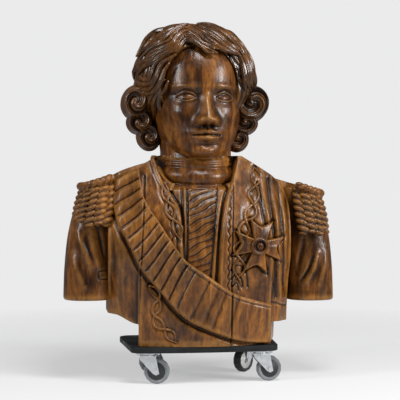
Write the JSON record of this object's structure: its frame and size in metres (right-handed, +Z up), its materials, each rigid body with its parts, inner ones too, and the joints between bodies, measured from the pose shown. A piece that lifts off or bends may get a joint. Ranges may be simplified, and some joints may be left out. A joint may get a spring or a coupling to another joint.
{
  "type": "ship figurehead bust on a dolly",
  "caption": "Carved wooden ship's figurehead: bust of a naval officer in epaulettes, sash and star, cut square at the elbows, on a black wheeled board with swivel casters.",
  "frame": {"origin": "middle of the whole outline, at floor level under the wheels", "axes": "+Z up, the figure faces -Y, +X towards the viewer's right, which is the figure's left arm"},
  "size_m": [0.8678, 0.4265, 1.1345],
  "materials": {
    "carved_wood": "stained and varnished, glossy, dark in the cuts",
    "black_paint": "plywood painted black, satin, scuffed",
    "zinc": "zinc plated pressed steel",
    "grey_rubber": "matt grey rubber tread",
    "black_rubber": "matt black rubber tread",
    "black_plastic": "moulded black plastic",
    "steel_rim": "dull pressed steel"
  },
  "bodies": {
    "loaded_board": {"carved_bust": "carved_wood", "dolly_board": "black_paint", "front_left_caster_plate": "zinc", "front_left_caster_screw_1": "zinc", "front_left_caster_screw_2": "zinc", "front_left_caster_screw_3": "zinc", "front_left_caster_screw_4": "zinc", "front_right_caster_plate": "zinc", "front_right_caster_screw_1": "zinc", "front_right_caster_screw_2": "zinc", "front_right_caster_screw_3": "zinc", "front_right_caster_screw_4": "zinc", "back_left_caster_plate": "zinc", "back_left_caster_screw_1": "zinc", "back_left_caster_screw_2": "zinc", "back_left_caster_screw_3": "zinc", "back_left_caster_screw_4": "zinc", "back_right_caster_plate": "zinc", "back_right_caster_screw_1": "zinc", "back_right_caster_screw_2": "zinc", "back_right_caster_screw_3": "zinc", "back_right_caster_screw_4": "zinc"},
    "front_left_swivel": {"front_left_caster_fork": "zinc", "front_left_caster_axle": "zinc"},
    "front_left_wheel": {"front_left_wheel_tyre": "grey_rubber", "front_left_wheel_centre": "black_plastic"},
    "front_right_swivel": {"front_right_caster_fork": "zinc", "front_right_caster_axle": "zinc"},
    "front_right_wheel": {"front_right_wheel_tyre": "grey_rubber", "front_right_wheel_centre": "black_plastic"},
    "back_left_swivel": {"back_left_caster_fork": "zinc", "back_left_caster_axle": "zinc"},
    "back_left_wheel": {"back_left_wheel_tyre": "grey_rubber", "back_left_wheel_centre": "black_plastic"},
    "back_right_swivel": {"back_right_caster_fork": "zinc", "back_right_caster_axle": "zinc"},
    "back_right_wheel": {"back_right_wheel_tyre": "black_rubber", "back_right_wheel_centre": "steel_rim"}
  },
  "joints": [
    {"name": "front_left_swivel_turn", "type": "hinge", "parent": "loaded_board", "child": "front_left_swivel", "pos_m": [-0.176, -0.098, 0.09], "axis": [0, 0, 1], "continuous": true},
    {"name": "front_left_wheel_spin", "type": "hinge", "parent": "front_left_swivel", "child": "front_left_wheel", "pos_m": [-0.14883, -0.10477, 0.04], "axis": [0.2419, 0.9703, 0], "continuous": true},
    {"name": "front_right_swivel_turn", "type": "hinge", "parent": "loaded_board", "child": "front_right_swivel", "pos_m": [0.176, -0.098, 0.09], "axis": [0, 0, 1], "continuous": true},
    {"name": "front_right_wheel_spin", "type": "hinge", "parent": "front_right_swivel", "child": "front_right_wheel", "pos_m": [0.20393, -0.09605, 0.04], "axis": [-0.0698, 0.9976, 0], "continuous": true},
    {"name": "back_left_swivel_turn", "type": "hinge", "parent": "loaded_board", "child": "back_left_swivel", "pos_m": [-0.176, 0.098, 0.09], "axis": [0, 0, 1], "continuous": true},
    {"name": "back_left_wheel_spin", "type": "hinge", "parent": "back_left_swivel", "child": "back_left_wheel", "pos_m": [-0.14827, 0.0941, 0.04], "axis": [0.1392, 0.9903, 0], "continuous": true},
    {"name": "back_right_swivel_turn", "type": "hinge", "parent": "loaded_board", "child": "back_right_swivel", "pos_m": [0.176, 0.098, 0.09], "axis": [0, 0, 1], "continuous": true},
    {"name": "back_right_wheel_spin", "type": "hinge", "parent": "back_right_swivel", "child": "back_right_wheel", "pos_m": [0.15519, 0.07926, 0.04], "axis": [0.6691, -0.7431, 0], "continuous": true}
  ]
}
